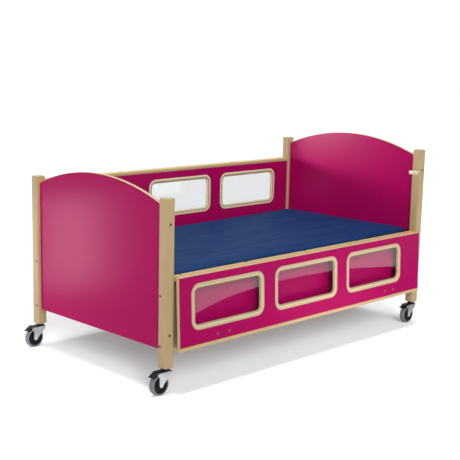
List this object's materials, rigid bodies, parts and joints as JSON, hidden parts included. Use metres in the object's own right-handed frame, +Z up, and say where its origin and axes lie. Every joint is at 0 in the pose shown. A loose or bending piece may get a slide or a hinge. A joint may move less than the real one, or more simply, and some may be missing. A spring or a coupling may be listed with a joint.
{
  "type": "safety bed",
  "caption": "High-sided safety bed on braked castors with windowed sides, arched ends, a mattress and a front flap that folds down on a continuous hinge.",
  "frame": {"origin": "on the floor, under the middle of the resting bed's bounding box", "axes": "+X towards the head end, +Y towards the fixed rear side (the flap is on -Y), +Z up"},
  "size_m": [2.0662, 1.0986, 1.086],
  "materials": {
    "post_wood": "varnished hardwood",
    "cap_wood": "varnished hardwood",
    "frame_wood": "varnished plywood edge",
    "slat_wood": "planed softwood",
    "laminate": "plywood faced with satin magenta laminate",
    "clear_pane": "clear sheet",
    "steel": "plated steel",
    "zinc": "zinc-plated pressed steel",
    "cream_plastic": "moulded",
    "black_plastic": "moulded",
    "grey_tread": "non-marking tread",
    "mattress_cover": "coated stretch cover over foam"
  },
  "bodies": {
    "frame": {"foot_front_post": "post_wood", "foot_rear_post": "post_wood", "head_front_post": "post_wood", "head_rear_post": "post_wood", "foot_panel": "laminate", "head_panel": "laminate", "rear_panel": "laminate", "front_panel": "laminate", "rear_cap_rail": "cap_wood", "front_cap_rail": "cap_wood", "rear_window_frame_1": "frame_wood", "rear_pane_1": "clear_pane", "rear_window_frame_2": "frame_wood", "rear_pane_2": "clear_pane", "hinge_fixed_leaf": "steel", "hinge_pin": "steel", "foot_keeper": "cream_plastic", "head_keeper": "cream_plastic", "slatted_base": "slat_wood", "foot_front_castor_head": "zinc", "foot_rear_castor_head": "zinc", "head_front_castor_head": "zinc", "head_rear_castor_head": "zinc"},
    "flap": {"flap_panel": "laminate", "flap_cap_rail": "cap_wood", "hinge_moving_leaf": "steel", "foot_handle": "steel", "head_handle": "steel", "flap_window_frame_1": "frame_wood", "flap_pane_1": "clear_pane", "flap_window_frame_2": "frame_wood", "flap_pane_2": "clear_pane", "flap_window_frame_3": "frame_wood", "flap_pane_3": "clear_pane"},
    "foot_latch_bolt": {"foot_latch_bolt": "steel"},
    "head_latch_bolt": {"head_latch_bolt": "steel"},
    "mattress": {"mattress": "mattress_cover"},
    "foot_front_fork": {"foot_front_castor_fork": "zinc", "foot_front_castor_axle": "zinc"},
    "foot_front_wheel": {"foot_front_castor_wheel": "black_plastic", "foot_front_castor_tyre": "grey_tread"},
    "foot_front_pedal": {"foot_front_brake_pedal": "black_plastic"},
    "foot_rear_fork": {"foot_rear_castor_fork": "zinc", "foot_rear_castor_axle": "zinc"},
    "foot_rear_wheel": {"foot_rear_castor_wheel": "black_plastic", "foot_rear_castor_tyre": "grey_tread"},
    "foot_rear_pedal": {"foot_rear_brake_pedal": "black_plastic"},
    "head_front_fork": {"head_front_castor_fork": "zinc", "head_front_castor_axle": "zinc"},
    "head_front_wheel": {"head_front_castor_wheel": "black_plastic", "head_front_castor_tyre": "grey_tread"},
    "head_front_pedal": {"head_front_brake_pedal": "black_plastic"},
    "head_rear_fork": {"head_rear_castor_fork": "zinc", "head_rear_castor_axle": "zinc"},
    "head_rear_wheel": {"head_rear_castor_wheel": "black_plastic", "head_rear_castor_tyre": "grey_tread"},
    "head_rear_pedal": {"head_rear_brake_pedal": "black_plastic"}
  },
  "joints": [
    {"name": "flap_hinge", "type": "hinge", "parent": "frame", "child": "flap", "pos_m": [0.0331, -0.51353, 0.54715], "axis": [-1, 0, 0], "range_deg": [0, 177.5]},
    {"name": "foot_latch_slide", "type": "slide", "parent": "flap", "child": "foot_latch_bolt", "axis": [-1, 0, 0], "range_m": [0, 0.014]},
    {"name": "head_latch_slide", "type": "slide", "parent": "flap", "child": "head_latch_bolt", "axis": [1, 0, 0], "range_m": [0, 0.014]},
    {"name": "mattress_lift", "type": "slide", "parent": "frame", "child": "mattress", "axis": [0, 0, 1], "range_m": [0, 0.27]},
    {"name": "foot_front_swivel", "type": "hinge", "parent": "frame", "child": "foot_front_fork", "pos_m": [-0.9409, -0.48473, 0.11], "axis": [0, 0, 1], "continuous": true},
    {"name": "foot_front_roll", "type": "hinge", "parent": "foot_front_fork", "child": "foot_front_wheel", "pos_m": [-0.9809, -0.48473, 0.05], "axis": [0, 1, 0], "continuous": true},
    {"name": "foot_front_brake", "type": "hinge", "parent": "foot_front_fork", "child": "foot_front_pedal", "pos_m": [-0.9969, -0.48473, 0.1042], "axis": [0, -1, 0], "range_deg": [0, 9]},
    {"name": "foot_rear_swivel", "type": "hinge", "parent": "frame", "child": "foot_rear_fork", "pos_m": [-0.9409, 0.52327, 0.11], "axis": [0, 0, 1], "continuous": true},
    {"name": "foot_rear_roll", "type": "hinge", "parent": "foot_rear_fork", "child": "foot_rear_wheel", "pos_m": [-0.9809, 0.52327, 0.05], "axis": [0, 1, 0], "continuous": true},
    {"name": "foot_rear_brake", "type": "hinge", "parent": "foot_rear_fork", "child": "foot_rear_pedal", "pos_m": [-0.9969, 0.52327, 0.1042], "axis": [0, -1, 0], "range_deg": [0, 9]},
    {"name": "head_front_swivel", "type": "hinge", "parent": "frame", "child": "head_front_fork", "pos_m": [1.0071, -0.48473, 0.11], "axis": [0, 0, 1], "continuous": true},
    {"name": "head_front_roll", "type": "hinge", "parent": "head_front_fork", "child": "head_front_wheel", "pos_m": [0.9671, -0.48473, 0.05], "axis": [0, 1, 0], "continuous": true},
    {"name": "head_front_brake", "type": "hinge", "parent": "head_front_fork", "child": "head_front_pedal", "pos_m": [0.9511, -0.48473, 0.1042], "axis": [0, -1, 0], "range_deg": [0, 9]},
    {"name": "head_rear_swivel", "type": "hinge", "parent": "frame", "child": "head_rear_fork", "pos_m": [1.0071, 0.52327, 0.11], "axis": [0, 0, 1], "continuous": true},
    {"name": "head_rear_roll", "type": "hinge", "parent": "head_rear_fork", "child": "head_rear_wheel", "pos_m": [0.9671, 0.52327, 0.05], "axis": [0, 1, 0], "continuous": true},
    {"name": "head_rear_brake", "type": "hinge", "parent": "head_rear_fork", "child": "head_rear_pedal", "pos_m": [0.9511, 0.52327, 0.1042], "axis": [0, -1, 0], "range_deg": [0, 9]}
  ]
}
